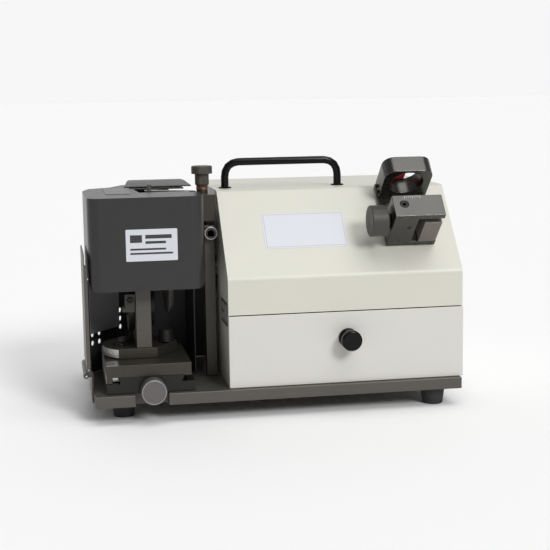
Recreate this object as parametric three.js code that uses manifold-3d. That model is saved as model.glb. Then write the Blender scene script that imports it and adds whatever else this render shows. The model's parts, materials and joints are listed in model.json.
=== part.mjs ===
// Bench drill bit sharpener: grinding station under a hood on the left, belt-driven spindle and drawer
// in a sheet housing on the right, setting gauge on the housing's slope.
// Working axes, in millimetres: x from the base plate's left edge, y from its front edge, z from the bench.
import * as THREE from 'three';
import { mergeVertices } from 'three/addons/utils/BufferGeometryUtils.js';
import Module from 'manifold-3d';

const wasm = await Module();
wasm.setup();

// ---------------------------------------------------------------- driving dimensions
const GAP = 0.3; // left between pieces that touch
const FOOT_HEIGHT = 22;
const BASE = { width: 450, depth: 290, bottom: FOOT_HEIGHT, top: FOOT_HEIGHT + 14.2 };
const DECK = BASE.top + GAP; // where pieces stand on the base plate
const NOTCH = { left: 47.8, right: 87.1, depth: 15 };

const HOUSING = { left: 161.1, right: 452, front: 6, rear: 284, top: 268.1, sheet: 2 };
const SLOPE = { z0: 169.5, y1: 92.5, radius: 9 };
const SEAM_Y = 145; // joint between front and rear cover
const DRAWER = { top: 124.1, seam: 1.3, trayTop: 104, trayRear: 122, knobX: 307, knobZ: 92 };
const SWITCH = { x: 201, z: 74, width: 19.4, height: 26, front: 276, rear: 288 };
const INLET = { left: 230, right: 258, low: 62, high: 84, front: 266 };
const VENT = { left: 300, right: 400, low: 150, height: 4, pitch: 12, count: 6 };
const HANDLE = { left: 176.5, right: 322.5, y: 126, top: 306, bar: 4.9, bend: 20 };

const SPINDLE = { y: 130, z: 163, radius: 8.5, tip: 88.5 };
const WHEEL = { left: 97, right: 105, radius: 52 };
const WHEEL_NUT = { left: 90, radius: 15 };
const MOTOR = { y: 215, z: 95, radius: 50, left: 232, right: 398 };
const PULLEY = { left: 197, right: 211, spindleRadius: 28, motorRadius: 35 };
const BELT_THICKNESS = 4;
const HEADSTOCK = { left: 164, right: 190, radius: 27, bearingRadius: 17 };

const COLUMN = { left: 143, right: 156.2, front: 79.7, rear: 92, top: 226 };
const CAP_SCREW = { x: 150.4, z: 217.5, radius: 8.3, socket: 4, front: 71 };
const FEED = {
  x: 143.9, y: 97, radius: 4, headBottom: 231.6, headTop: 264.5, headLeft: 129.5, headRight: 158.5,
  headRear: 112,
};
const FEED_NUT = { left: 134, right: 149.2, rear: 106, bottom: 175, top: 190 };
const INDEX = {
  x: 80, y: 119, bottom: FEED.headTop + GAP, top: FEED.headTop + GAP + 4, pin: 2.7, pinTop: 276.5,
};

const SLIDE = { left: 14.4, right: 115.6, shoulder: 48.6, male: 56.5, top: 71.3, front: 8, rear: 128 };
const SLIDE_BASE_REAR = 138;
const CROSS_SCREW = { x: 69, z: 41.3, radius: 3.5, knobRadius: 15.4 };
const TABLE = { x: 60, y: 80, radius: 46, bottom: SLIDE.top + GAP, top: 84, front: 43 };
const TABLE_SCREW = { radius: 4, slotRadius: 4.5, swing: 14, counterbore: 8.2, counterboreFloor: 77 };
const TABLE_SCREW_PLACES = [[33, 75], [92, 77]];
const POST = { left: 53.7, right: 72.2, front: 43, rear: 130, top: 174 };
const SEAT = { y: 98, z: 133, bore: 18, sleeve: 25, flange: 37 };

const HOOD = { left: -1, right: 137, bottom: 158.5, top: 269, sheet: 1.6, rearWallBottom: 225, corner: 9.5 };
const LID = { left: 51, right: 137, front: 155, rear: 206.5, narrowing: 9 };
const STANCHION = { left: 60, right: 112, front: 217.5, rear: 221.5, footRear: 245, footHeight: 4 };
const HOOD_HINGE = { y: 219.5, z: 262, radius: 5, pin: 2, left: 74, right: 98 };
const GUARD_HINGE = {
  x: -8.3, z: 57, radius: 3.4, pin: 1.5, front: 25, rear: 105, middleFront: 45, middleRear: 85,
};
const SIDE_GUARD = { front: 22, rear: 124, top: 203 };
const SCREEN = { x: -1, y: 131, length: 84, height: 120, thickness: 1.5, hole: 3.5, holePitch: 11 };
const DEFLECTOR = { left: 1, right: 63.5, bottom: 50.5 };
const SCREEN_HOLES = [[6.6, 38], [21.1, 38], [67.8, 49]]; // along the screen, height of a column's lowest hole
const REAR_PANEL = { lowLeft: 45, left: 54, right: 158, front: 200, thickness: 2, top: 222 };

const GAUGE = { left: 361, right: 423, ringLow: 108, ringHigh: 130, blockLow: 37.5, blockHigh: 68 };
const GAUGE_SCREW = { s: 52, n: 36, radius: 4, knobRadius: 19 };

// ---------------------------------------------------------------- materials
function paint(color, roughness, metalness) {
  return new THREE.MeshStandardMaterial({ color, roughness, metalness, flatShading: true });
}
const CREAM = paint(0xdedccf, 0.5, 0.1);
const DRAWER_CREAM = paint(0xd2cfc3, 0.5, 0.1);
const HOOD_GREY = paint(0x4d4b4b, 0.55, 0.2);
const PLATE_GREY = paint(0x6b6862, 0.5, 0.4);
const STEEL = paint(0x5c5953, 0.4, 0.8);
const DARK_STEEL = paint(0x3a3834, 0.45, 0.7);
const BRIGHT_STEEL = paint(0xb5b5b0, 0.3, 0.9);
const BLACK = paint(0x141414, 0.35, 0);
const RUBBER = paint(0x1b1b1b, 0.9, 0);
const COPPER = paint(0x9a5a35, 0.4, 0.9);
const ABRASIVE = paint(0x77736a, 0.95, 0);
const MOTOR_GREY = paint(0x6e7478, 0.5, 0.5);

// ---------------------------------------------------------------- shape helpers
const AXIS_BASIS = {
  x: [new THREE.Vector3(0, 1, 0), new THREE.Vector3(0, 0, 1), new THREE.Vector3(1, 0, 0)],
  y: [new THREE.Vector3(1, 0, 0), new THREE.Vector3(0, 0, 1), new THREE.Vector3(0, -1, 0)],
  z: [new THREE.Vector3(1, 0, 0), new THREE.Vector3(0, 1, 0), new THREE.Vector3(0, 0, 1)],
};

function box(x0, x1, y0, y1, z0, z1) {
  const geometry = new THREE.BoxGeometry(x1 - x0, y1 - y0, z1 - z0);
  return geometry.translate((x0 + x1) / 2, (y0 + y1) / 2, (z0 + z1) / 2);
}

// Outline of [u, v, radius] corners, each radius turned into an arc.
function outline(corners, steps = 5) {
  const points = [];
  corners.forEach(([u, v, radius = 0], i) => {
    const here = new THREE.Vector2(u, v);
    if (radius === 0) {
      points.push(here);
      return;
    }
    const before = corners[(i + corners.length - 1) % corners.length];
    const after = corners[(i + 1) % corners.length];
    const toBefore = new THREE.Vector2(before[0] - u, before[1] - v).normalize();
    const toAfter = new THREE.Vector2(after[0] - u, after[1] - v).normalize();
    const half = Math.acos(toBefore.dot(toAfter)) / 2;
    const middle = toBefore.clone().add(toAfter).normalize();
    const centre = here.clone().addScaledVector(middle, radius / Math.sin(half));
    const start = here.clone().addScaledVector(toBefore, radius / Math.tan(half)).sub(centre).angle();
    const end = here.clone().addScaledVector(toAfter, radius / Math.tan(half)).sub(centre).angle();
    const sweep = ((end - start + 3 * Math.PI) % (2 * Math.PI)) - Math.PI;
    for (let k = 0; k <= steps; k += 1) {
      const angle = start + (sweep * k) / steps;
      points.push(new THREE.Vector2(Math.cos(angle), Math.sin(angle)).multiplyScalar(radius).add(centre));
    }
  });
  return points;
}

// Prism of an outline: (y, z) along x, (x, z) along y, or (x, y) along z.
function prism(axis, points, from, to) {
  const shape = new THREE.Shape(points);
  const geometry = new THREE.ExtrudeGeometry(shape, { depth: to - from, bevelEnabled: false });
  const basis = new THREE.Matrix4().makeBasis(...AXIS_BASIS[axis]);
  geometry.applyMatrix4(basis);
  const start = { x: [from, 0, 0], y: [0, to, 0], z: [0, 0, from] }[axis];
  return geometry.translate(...start);
}

function circle(u, v, radius, sides = 24) {
  const points = [];
  for (let k = 0; k < sides; k += 1) {
    const angle = (2 * Math.PI * k) / sides;
    points.push(new THREE.Vector2(u + radius * Math.cos(angle), v + radius * Math.sin(angle)));
  }
  return points;
}

// Round bar along an axis; u and v are its centre in prism's outline plane.
function rod(axis, u, v, radius, from, to, sides = 24) {
  return prism(axis, circle(u, v, radius, sides), from, to);
}

// Turned piece along an axis from [radius, position] pairs; the profile ends on the axis or closes.
function turned(axis, u, v, profile, sides = 24) {
  const points = profile.map(([radius, along]) => new THREE.Vector2(radius, along));
  const geometry = new THREE.LatheGeometry(points, sides);
  if (axis === 'x') return geometry.rotateZ(-Math.PI / 2).translate(0, u, v);
  if (axis === 'y') return geometry.translate(u, 0, v);
  return geometry.rotateX(Math.PI / 2).translate(u, v, 0);
}

// Turned ring with a bore.
function ring(axis, u, v, bore, radius, from, to, sides = 24) {
  const profile = [[bore, from], [radius, from], [radius, to], [bore, to], [bore, from]];
  return turned(axis, u, v, profile, sides);
}

function toSolid(geometry) {
  const bare = geometry.clone();
  bare.deleteAttribute('normal');
  bare.deleteAttribute('uv');
  const merged = mergeVertices(bare, 1e-4);
  const mesh = new wasm.Mesh({
    numProp: 3,
    vertProperties: new Float32Array(merged.attributes.position.array),
    triVerts: new Uint32Array(merged.index.array),
  });
  return new wasm.Manifold(mesh);
}

function toGeometry(solid) {
  const mesh = solid.getMesh();
  const geometry = new THREE.BufferGeometry();
  geometry.setAttribute('position', new THREE.BufferAttribute(new Float32Array(mesh.vertProperties), 3));
  geometry.setIndex(new THREE.BufferAttribute(new Uint32Array(mesh.triVerts), 1));
  geometry.computeVertexNormals();
  return geometry;
}

function join(...geometries) {
  return toGeometry(geometries.map(toSolid).reduce((whole, part) => whole.add(part)));
}

function cut(geometry, ...tools) {
  return toGeometry(tools.map(toSolid).reduce((rest, tool) => rest.subtract(tool), toSolid(geometry)));
}

const machine = new THREE.Group();

function add(name, geometry, material, parent = machine) {
  const mesh = new THREE.Mesh(geometry, material);
  mesh.name = name;
  parent.add(mesh);
  return mesh;
}

// ---------------------------------------------------------------- base and feet
function buildBase() {
  const plate = box(0, BASE.width, 0, BASE.depth, BASE.bottom, BASE.top);
  const notch = box(NOTCH.left, NOTCH.right, -1, NOTCH.depth, BASE.bottom - 1, BASE.top + 1);
  add('base_plate', cut(plate, notch), PLATE_GREY);

  const footTop = FOOT_HEIGHT - GAP;
  const profile = [[0, 0], [12, 0], [12.6, 1], [15, footTop - 3], [15, footTop], [0, footTop]];
  const places = {
    front_left: [36, 52],
    front_right: [420, 26],
    rear_left: [36, 262],
    rear_right: [420, 262],
  };
  for (const [place, [x, y]] of Object.entries(places)) {
    const foot = add(`foot_${place}`, turned('z', 0, 0, profile, 20), RUBBER);
    foot.position.set(x, y, 0);
  }
}

// ---------------------------------------------------------------- housing, drawer and handle
function buildHousing() {
  const { left, right, front, rear, top, sheet } = HOUSING;
  const drawerGap = front + sheet + GAP;
  const lip = DRAWER.top + DRAWER.seam;
  const outer = outline([
    [drawerGap, DECK], [drawerGap, lip], [front, lip], [front, SLOPE.z0, SLOPE.radius],
    [SLOPE.y1, top, SLOPE.radius], [SEAM_Y - GAP / 2, top], [SEAM_Y - GAP / 2, DECK],
  ]);
  const tilt = Math.atan2(top - SLOPE.z0, SLOPE.y1 - front);
  const drop = sheet * Math.tan(tilt / 2);
  const inner = outline([
    [front + sheet, DECK - 1], [front + sheet, SLOPE.z0 - drop, SLOPE.radius - sheet],
    [SLOPE.y1 + drop, top - sheet, SLOPE.radius - sheet],
    [SEAM_Y + 1, top - sheet], [SEAM_Y + 1, DECK - 1],
  ]);
  const spindleHole = rod('x', SPINDLE.y, SPINDLE.z, HEADSTOCK.radius + 3, left - 1, left + sheet + 1, 32);
  const frontRoom = prism('x', inner, left + sheet, right - sheet);
  add('front_cover', cut(prism('x', outer, left, right), frontRoom, spindleHole), CREAM);

  const seam = SEAM_Y + GAP / 2;
  const rearOuter = outline([[seam, DECK], [seam, top], [rear, top, 4], [rear, DECK]], 3);
  const rearRoom = box(left + sheet, right - sheet, SEAM_Y - 1, rear - sheet, DECK - 1, top - sheet);
  const throughRear = (x0, x1, z0, z1) => box(x0, x1, rear - sheet - 1, rear + 1, z0, z1);
  const halfWidth = SWITCH.width / 2 + 2 * GAP;
  const halfHeight = SWITCH.height / 2 + 4 * GAP;
  const holes = [
    throughRear(SWITCH.x - halfWidth, SWITCH.x + halfWidth, SWITCH.z - halfHeight, SWITCH.z + halfHeight),
    throughRear(INLET.left - GAP, INLET.right + GAP, INLET.low - GAP, INLET.high + GAP),
  ];
  for (let k = 0; k < VENT.count; k += 1) {
    const low = VENT.low + VENT.pitch * k;
    holes.push(throughRear(VENT.left, VENT.right, low, low + VENT.height));
  }
  add('rear_cover', cut(prism('x', rearOuter, left, right), rearRoom, spindleHole, ...holes), CREAM);

  add('carry_handle', handleBar(), BLACK);
}

function handleBar() {
  const { left, right, y, top, bar, bend } = HANDLE;
  const level = top - bar;
  const foot = HOUSING.top + GAP;
  const path = new THREE.CurvePath();
  const at = (x, z) => new THREE.Vector3(x, y, z);
  const bendAt = (from, corner, to) => new THREE.QuadraticBezierCurve3(from, corner, to);
  path.add(new THREE.LineCurve3(at(left, foot), at(left, level - bend)));
  path.add(bendAt(at(left, level - bend), at(left, level), at(left + bend, level)));
  path.add(new THREE.LineCurve3(at(left + bend, level), at(right - bend, level)));
  path.add(bendAt(at(right - bend, level), at(right, level), at(right, level - bend)));
  path.add(new THREE.LineCurve3(at(right, level - bend), at(right, foot)));
  const section = new THREE.Shape(circle(0, 0, bar, 10));
  return new THREE.ExtrudeGeometry(section, { steps: 28, extrudePath: path, bevelEnabled: false });
}

function buildDrawer() {
  const { left, right, front, sheet } = HOUSING;
  const panel = box(left, right + 1.2, front, front + sheet, DECK, DRAWER.top);
  add('drawer_front', panel, DRAWER_CREAM);

  const trayFront = front + sheet + GAP;
  const trayRear = DRAWER.trayRear;
  const trayBottom = DECK + 2;
  const tray = box(left + 5, right - 5, trayFront, trayRear, trayBottom, DRAWER.trayTop);
  const inside = box(left + 7, right - 7, trayFront + 2, trayRear - 2, trayBottom + 2, DRAWER.trayTop + 1);
  add('drawer_tray', cut(tray, inside), PLATE_GREY);

  const face = front - GAP;
  const knob = [[0, face], [12, face], [12, face - 3], [7.5, face - 6], [7.5, -7], [12.6, -10], [12.6, -16.5]];
  knob.push([11, -18], [0, -18]);
  knob.reverse();
  add('drawer_knob', turned('y', DRAWER.knobX, DRAWER.knobZ, knob, 28), BLACK);
}

// ---------------------------------------------------------------- rear panel fittings
function buildRearFittings() {
  const { x, z, width, height } = SWITCH;
  const rocker = new THREE.BoxGeometry(width, SWITCH.rear - SWITCH.front, height);
  rocker.translate(x, (SWITCH.front + SWITCH.rear) / 2, z);
  add('switch_rocker', rocker, BLACK);

  const { left, right, low, high, front } = INLET;
  const face = HOUSING.rear + GAP;
  const wall = 3;
  const rim = 4;
  const body = box(left, right, front, face + 0.1, low, high);
  const flange = box(left - rim, right + rim, face, face + 2.2, low - rim, high + rim);
  const recess = box(left + wall, right - wall, front + 4, face + 3, low + wall, high - wall);
  const places = [[left + 8, low + 9], [right - 8, low + 9], [(left + right) / 2, low + 14]];
  const pins = places.map(([u, v]) => box(u - 1, u + 1, front + 3, front + 14, v - 2, v + 2));
  add('power_inlet', join(cut(join(body, flange), recess), ...pins), BLACK);
}

// ---------------------------------------------------------------- motor, belt and spindle
function beltOutline(extra) {
  const small = PULLEY.spindleRadius + GAP + extra;
  const large = PULLEY.motorRadius + GAP + extra;
  const dy = MOTOR.y - SPINDLE.y;
  const dz = MOTOR.z - SPINDLE.z;
  const direction = Math.atan2(dz, dy);
  const lean = Math.acos((small - large) / Math.hypot(dy, dz));
  const points = [];
  const arc = (y, z, radius, from, to, steps) => {
    for (let k = 0; k <= steps; k += 1) {
      const angle = from + ((to - from) * k) / steps;
      points.push(new THREE.Vector2(y + radius * Math.cos(angle), z + radius * Math.sin(angle)));
    }
  };
  arc(MOTOR.y, MOTOR.z, large, direction - lean, direction + lean, 14);
  arc(SPINDLE.y, SPINDLE.z, small, direction + lean, direction - lean + 2 * Math.PI, 14);
  return points;
}

function pulleyProfile(radius, bore) {
  const { left, right } = PULLEY;
  const rim = radius + 3;
  return [
    [bore, left - 2], [rim, left - 2], [rim, left], [radius, left + 1], [radius, right - 1], [rim, right],
    [rim, right + 2], [bore, right + 2],
  ];
}

function buildDrive() {
  const { left, right, radius, y, z } = MOTOR;
  const barrel = rod('x', y, z, radius, left + 12, right - 12, 32);
  const bells = rod('x', y, z, radius - 6, left, right, 32);
  const foot = box(left + 36, right - 36, y - 38, y + 38, DECK, z - 20);
  const terminalBox = box(left + 50, left + 110, y - 22, y + 22, z + 30, z + radius + 16);
  add('motor', join(barrel, bells, foot, terminalBox), MOTOR_GREY);

  const motorPulley = pulleyProfile(PULLEY.motorRadius, 0);
  motorPulley.pop();
  motorPulley.push([7, PULLEY.right + 2], [7, left - GAP], [0, left - GAP]);
  add('motor_pulley', turned('x', y, z, motorPulley, 28), STEEL);

  const loop = prism('x', beltOutline(BELT_THICKNESS), PULLEY.left + 2, PULLEY.right - 2);
  const space = prism('x', beltOutline(0), PULLEY.left, PULLEY.right);
  add('drive_belt', cut(loop, space), RUBBER);

  const bore = SPINDLE.radius + GAP;
  const spindlePulley = pulleyProfile(PULLEY.spindleRadius, bore);
  spindlePulley.push(spindlePulley[0]);
  add('spindle_pulley', turned('x', SPINDLE.y, SPINDLE.z, spindlePulley, 28), STEEL);

  const shaft = SPINDLE.radius;
  const neck = HEADSTOCK.left - 3;
  const end = PULLEY.right + 5;
  const collar = WHEEL.right + GAP;
  const spindle = [[0, SPINDLE.tip], [shaft, SPINDLE.tip], [shaft, collar], [18, collar], [18, collar + 4]];
  spindle.push([12, collar + 6], [12, neck], [shaft, neck], [shaft, end], [0, end]);
  add('spindle', turned('x', SPINDLE.y, SPINDLE.z, spindle), BRIGHT_STEEL);

  const bearings = { front: HEADSTOCK.left + 1, rear: HEADSTOCK.right - 11 };
  for (const [place, from] of Object.entries(bearings)) {
    const race = ring('x', SPINDLE.y, SPINDLE.z, bore, HEADSTOCK.bearingRadius - GAP, from, from + 10);
    add(`bearing_${place}`, race, BRIGHT_STEEL);
  }
  const tube = rod('x', SPINDLE.y, SPINDLE.z, HEADSTOCK.radius, HEADSTOCK.left, HEADSTOCK.right, 32);
  const pedestal = box(HEADSTOCK.left, HEADSTOCK.right, SPINDLE.y - 3, SPINDLE.y + 32, DECK, SPINDLE.z);
  const { left: headLeft, right: headRight } = HEADSTOCK;
  const seat = rod('x', SPINDLE.y, SPINDLE.z, HEADSTOCK.bearingRadius, headLeft - 1, headRight + 1);
  add('headstock', cut(join(tube, pedestal), seat), DARK_STEEL);

  const wheel = [[bore, WHEEL.left], [WHEEL.radius - 3, WHEEL.left], [WHEEL.radius, WHEEL.left + 2]];
  wheel.push([WHEEL.radius - 8, WHEEL.right], [bore, WHEEL.right], [bore, WHEEL.left]);
  add('grinding_wheel', turned('x', SPINDLE.y, SPINDLE.z, wheel, 40), ABRASIVE);
  const nut = rod('x', SPINDLE.y, SPINDLE.z, WHEEL_NUT.radius, WHEEL_NUT.left, WHEEL.left - GAP, 6);
  const nutBore = rod('x', SPINDLE.y, SPINDLE.z, bore, WHEEL_NUT.left - 1, WHEEL.left);
  add('wheel_nut', cut(nut, nutBore), STEEL);
}

// ---------------------------------------------------------------- feed column
function buildColumn() {
  const { left, right, front, rear, top } = COLUMN;
  add('column_bar', box(left, right, front, rear, DECK, top), PLATE_GREY);
  const { x: screwX, z: screwZ, radius: screwRadius, socket, front: screwFront } = CAP_SCREW;
  const screwHead = rod('y', screwX, screwZ, screwRadius, screwFront, front - GAP);
  const screwSocket = rod('y', screwX, screwZ, socket, screwFront - 1, screwFront + 5, 6);
  add('column_cap_screw', cut(screwHead, screwSocket), DARK_STEEL);

  const { x, y, radius, headBottom, headTop, headLeft, headRight, headRear } = FEED;
  const bossTop = headTop + 4.9;
  const boss = rod('z', x, y, 7.1, headTop - 1, bossTop);
  const block = box(headLeft, headRight, front + GAP, headRear, headBottom, headTop);
  const tongue = box(FEED_NUT.right + GAP, headRight, rear + 2 * GAP, headRear, 180, headBottom + 1);
  const screwBottom = FEED_NUT.bottom - 10;
  const bore = rod('z', x, y, radius + GAP, screwBottom, bossTop + 1);
  add('feed_head', cut(join(block, boss, tongue), bore), STEEL);
  const washerTop = bossTop + GAP + 2.9;
  add('feed_washer', ring('z', x, y, radius + GAP, 7.5, bossTop + GAP, washerTop), COPPER);

  const hub = washerTop + GAP;
  const knob = [[0, screwBottom], [radius, screwBottom], [radius, hub], [7.1, hub], [7.1, hub + 2.1]];
  knob.push([8.7, hub + 3.1], [8.7, hub + 16.1], [13, hub + 16.5]);
  knob.push([13, hub + 25.1], [12, hub + 26.1], [0, hub + 26.1]);
  add('feed_knob', turned('z', x, y, knob), STEEL);
  const nut = box(FEED_NUT.left, FEED_NUT.right, rear + GAP, FEED_NUT.rear, FEED_NUT.bottom, FEED_NUT.top);
  add('feed_nut', cut(nut, bore), STEEL);

  // The arm lies on the feed head, left of its boss, and reaches through the hood's open corner.
  const armRight = x - 8.5;
  const reach = outline([
    [armRight, 88], [armRight, 100], [INDEX.x + 4, INDEX.y + 6, 4], [INDEX.x - 7, INDEX.y + 3, 4],
    [INDEX.x - 5, INDEX.y - 7, 4],
  ], 3);
  const pinHole = rod('z', INDEX.x, INDEX.y, INDEX.pin + GAP, INDEX.bottom - 1, INDEX.top + 1, 12);
  const slotCorners = outline([[122, 93], [122, 97], [90, 115], [90, 112]]);
  const slot = prism('z', slotCorners, INDEX.bottom - 1, INDEX.top + 1);
  add('index_arm', cut(prism('z', reach, INDEX.bottom, INDEX.top), pinHole, slot), STEEL);
  add('index_pin', rod('z', INDEX.x, INDEX.y, INDEX.pin, INDEX.bottom - 2, INDEX.pinTop, 12), BRIGHT_STEEL);
}

// ---------------------------------------------------------------- cross slide and rotary table
function buildCrossSlide() {
  const { left, right, shoulder, male, top, front, rear } = SLIDE;
  const polygon = (corners) => corners.map(([x, z]) => new THREE.Vector2(x, z));
  const { x, z, radius, knobRadius } = CROSS_SCREW;
  const base = prism('y', polygon([
    [14.6, DECK], [119.8, DECK], [119.8, shoulder], [103.8, shoulder], [107.4, male], [28.4, male],
    [31.2, shoulder], [14.6, shoulder],
  ]), front, SLIDE_BASE_REAR);
  const screwBore = rod('y', x, z, radius + GAP, front - 1, SLIDE_BASE_REAR + 1, 16);
  const nutSlot = box(x - 5, x + 5, 62, 112, z - radius - 0.2, male + 1);
  add('slide_base', cut(base, screwBore, nutSlot), STEEL);

  const carriage = prism('y', polygon([
    [left, shoulder + 0.9], [21.5, shoulder + 0.9], [21.5, male + 0.5], [108, male + 0.5],
    [107.6, male - 0.7], [right, male - 0.7], [right, top], [left, top],
  ]), front, rear);
  const screwHole = ([u, v]) => rod('z', u, v, TABLE_SCREW.radius + GAP, male, top + 1, 16);
  add('upper_slide', cut(carriage, ...TABLE_SCREW_PLACES.map(screwHole)), STEEL);
  add('slide_gib', prism('y', polygon([
    [21.8, shoulder + 0.7], [30.5, shoulder + 0.7], [27.9, male + 0.2], [21.8, male + 0.2],
  ]), front + 12, rear - 3), BRIGHT_STEEL);
  const nut = box(x - 4.4, x + 4.4, 80, 92, z - radius + 0.2, male + 0.2);
  add('cross_nut', cut(nut, screwBore), BRIGHT_STEEL);

  const screw = [[0, 140], [radius, 140], [radius, 5.5], [knobRadius - 1, 5.5], [knobRadius, 4.5]];
  screw.push([knobRadius, -11], [knobRadius - 1, -12], [0, -12]);
  screw.reverse();
  add('cross_screw', turned('y', x, z, screw, 32), STEEL);
}

// Slot that follows the table's turn about its own centre.
function tableSlot([x, y], halfWidth, from, to) {
  const reach = Math.hypot(x - TABLE.x, y - TABLE.y);
  const middle = Math.atan2(y - TABLE.y, x - TABLE.x);
  const swing = THREE.MathUtils.degToRad(TABLE_SCREW.swing) + Math.asin(halfWidth / reach);
  const points = [];
  const steps = 6;
  for (const [side, sign] of [[reach + halfWidth, 1], [reach - halfWidth, -1]]) {
    for (let k = 0; k <= steps; k += 1) {
      const angle = middle + sign * swing * ((2 * k) / steps - 1);
      points.push(new THREE.Vector2(TABLE.x + side * Math.cos(angle), TABLE.y + side * Math.sin(angle)));
    }
  }
  return prism('z', points, from, to);
}

function buildRotaryTable() {
  const { x, y, radius, bottom, top, front } = TABLE;
  const start = THREE.MathUtils.degToRad(1.2);
  const end = Math.PI + Math.asin((y - front) / radius);
  const points = [new THREE.Vector2(78.6, front)];
  const steps = 26;
  for (let k = 0; k <= steps; k += 1) {
    const angle = start + ((end - start) * k) / steps;
    points.push(new THREE.Vector2(x + radius * Math.cos(angle), y + radius * Math.sin(angle)));
  }
  const [leftScrew, rightScrew] = TABLE_SCREW_PLACES;
  const floor = TABLE_SCREW.counterboreFloor;
  const shankSlot = (place) => tableSlot(place, TABLE_SCREW.slotRadius, bottom - 1, top + 1);
  const slots = TABLE_SCREW_PLACES.map(shankSlot);
  const counterbore = tableSlot(leftScrew, TABLE_SCREW.counterbore, floor, top + 1);
  add('rotary_table', cut(prism('z', points, bottom, top), ...slots, counterbore), STEEL);

  const heads = {
    left: [leftScrew, floor + GAP, floor + 6.4, TABLE_SCREW.counterbore - 0.8],
    right: [rightScrew, top + GAP, top + 15.8, 9],
  };
  for (const [place, [[u, v], seat, headTop, headRadius]] of Object.entries(heads)) {
    const shank = rod('z', u, v, TABLE_SCREW.radius, SLIDE.male + 3.5, seat + 1, 16);
    const head = rod('z', u, v, headRadius, seat, headTop);
    const socket = rod('z', u, v, 3.8, headTop - 3.5, headTop + 1, 6);
    add(`table_screw_${place}`, cut(join(shank, head), socket), DARK_STEEL);
  }

  const side = outline([
    [POST.front, top + GAP], [POST.rear - 4, top + GAP], [POST.rear, 110], [POST.rear, POST.top, 14],
    [POST.front, POST.top, 10],
  ], 4);
  const bore = rod('x', SEAT.y, SEAT.z, SEAT.sleeve + GAP, POST.left - 1, POST.right + 1, 32);
  add('seat_post', cut(prism('x', side, POST.left, POST.right), bore), PLATE_GREY);
  const foot = box(38, POST.left - GAP, 46, 59, 128, 134);
  const upright = box(41, POST.left - GAP, 46, 56, 128, 150);
  const screwHole = rod('y', 47.5, 143, 2.5, 45, 52, 12);
  add('stop_bracket', cut(join(foot, upright), screwHole), STEEL);

  const flangeLeft = POST.left - GAP - 6.2;
  const flangeRight = POST.left - GAP;
  const sleeve = [
    [SEAT.bore, flangeLeft], [SEAT.flange, flangeLeft], [SEAT.flange, flangeRight],
    [SEAT.sleeve, flangeRight],
    [SEAT.sleeve, POST.right + 6.8], [SEAT.bore, POST.right + 6.8], [SEAT.bore, flangeLeft],
  ];
  const rim = SEAT.z + SEAT.flange;
  const lug = box(flangeLeft, flangeRight, SEAT.y - 4, SEAT.y + 4, rim - 3, rim + 6);
  add('chuck_seat', join(turned('x', SEAT.y, SEAT.z, sleeve, 36), lug), STEEL);
  const retainer = ring('x', SEAT.y, SEAT.z, SEAT.sleeve + GAP, 31, POST.right + GAP, POST.right + 6.4, 32);
  add('seat_ring', retainer, DARK_STEEL);
}

// ---------------------------------------------------------------- hood
function hoodOutline(inset) {
  return outline([
    [HOOD.left + inset, 14 + inset, 15 - inset], [HOOD.right - inset, 14 + inset, 18 - inset],
    [HOOD.right - inset, 72 - inset],
    [126 - inset, 72 - inset], [126 - inset, 212 - inset], [52 + inset, 212 - inset], [33 + inset, 176 - inset],
    [6 + inset, 161 - inset], [-2.4 + inset, 129 - inset / 2],
  ], 6);
}

// Tool that rounds a lower corner of the hood; side is -1 at its left edge x and 1 at its right edge x.
function hoodCorner(x, side) {
  const { bottom, corner } = HOOD;
  const outside = x + 2 * side;
  const corners = [[outside, bottom + corner], [outside, bottom - 1], [x - side * corner, bottom - 1]];
  const points = corners.map(([u, v]) => new THREE.Vector2(u, v));
  const steps = 6;
  for (let k = 0; k <= steps; k += 1) {
    const angle = (Math.PI / 2) * (k / steps);
    const across = corner * (1 - Math.sin(angle));
    points.push(new THREE.Vector2(x - side * across, bottom + corner * (1 - Math.cos(angle))));
  }
  return prism('y', points, 0, 170);
}

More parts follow.
